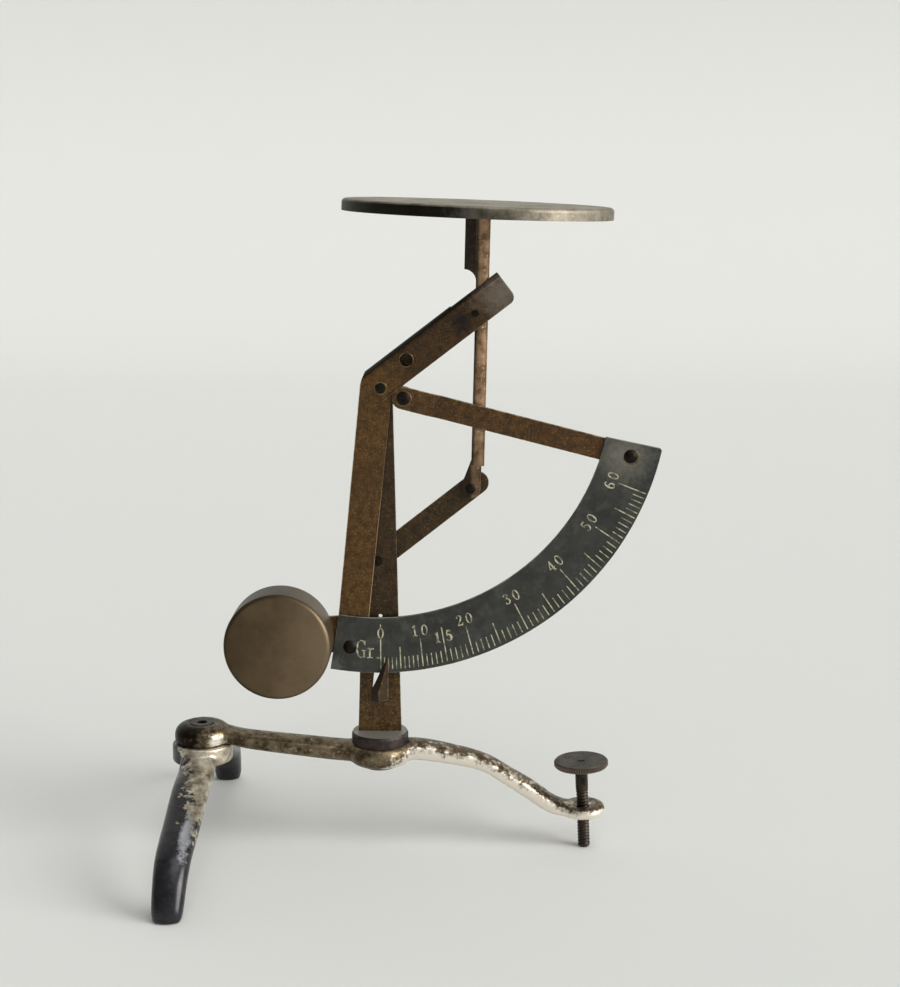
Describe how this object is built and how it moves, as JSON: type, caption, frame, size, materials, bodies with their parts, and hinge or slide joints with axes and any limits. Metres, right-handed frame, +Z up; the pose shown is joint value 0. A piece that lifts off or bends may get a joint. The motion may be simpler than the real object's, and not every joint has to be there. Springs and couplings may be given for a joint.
{
  "type": "weighing scale",
  "caption": "Pendulum letter scale: round pan on a parallelogram linkage, balance lever with counterweight and graduated quadrant read at a fixed pointer, folding cross-leg base.",
  "frame": {"origin": "middle of the bounding box in X and Y, on the table at Z = 0", "axes": "+X to the right as the scale is read, +Y away from the reader, +Z up"},
  "size_m": [0.1356, 0.1098, 0.1816],
  "materials": {
    "base_nickel": "satin",
    "leg_iron": "satin",
    "dark_steel": "satin",
    "collar_steel": "satin",
    "brown_strip": "satin",
    "stem_strip": "satin",
    "scale_plate": "satin",
    "weight_metal": "satin",
    "pan_metal": "satin"
  },
  "bodies": {
    "base": {"base_arm": "base_nickel", "hub_rivet": "dark_steel", "collar": "collar_steel", "post": "brown_strip", "post_washer": "dark_steel", "link_pin": "dark_steel"},
    "legs": {"cross_legs": "leg_iron"},
    "lever": {"balance_lever": "brown_strip", "fulcrum_pin": "dark_steel", "strut": "brown_strip", "strut_rivet": "dark_steel", "quadrant": "scale_plate", "quadrant_rivets": "dark_steel", "weight_shell": "weight_metal", "weight_slug": "weight_metal", "weight_cover": "weight_metal", "weight_stud": "dark_steel", "stem_pin": "dark_steel"},
    "link": {"lower_link": "brown_strip", "link_end_pin": "dark_steel"},
    "carrier": {"pan_stem": "stem_strip", "pan": "pan_metal", "pan_rivet": "pan_metal"},
    "screw": {"levelling_screw": "dark_steel"},
    "knob": {"levelling_knob": "dark_steel"}
  },
  "joints": [
    {"name": "lever_swing", "type": "hinge", "parent": "base", "child": "lever", "pos_m": [-0.00876, 0, 0.1303], "axis": [0, 1, 0], "range_deg": [-3, 72]},
    {"name": "carrier_hinge", "type": "hinge", "parent": "lever", "child": "carrier", "pos_m": [0.017, 0, 0.15061], "axis": [0, 1, 0], "range_deg": [-72.5, 3.5]},
    {"name": "link_swing", "type": "hinge", "parent": "base", "child": "link", "pos_m": [-0.0099, 0, 0.08201], "axis": [0, 1, 0], "range_deg": [-3.5, 72.5]},
    {"name": "leg_swivel", "type": "hinge", "parent": "base", "child": "legs", "pos_m": [-0.05936, 0, 0.0299], "axis": [0, 0, 1], "range_deg": [-90, 90]},
    {"name": "screw_travel", "type": "slide", "parent": "base", "child": "screw", "axis": [-0.0436, 0, 0.999], "range_m": [-0.0081, 0.0072]},
    {"name": "knob_turn", "type": "hinge", "parent": "screw", "child": "knob", "pos_m": [0.04754, 0, 0.011], "axis": [-0.0436, 0, 0.999], "range_deg": [-3276, 2916]}
  ],
  "couplings": [
    {"joint": "carrier_hinge", "follows": "lever_swing", "ratio": -1},
    {"joint": "link_swing", "follows": "lever_swing", "ratio": 1},
    {"joint": "knob_turn", "follows": "screw_travel", "rad_per_m": 6981.3}
  ]
}
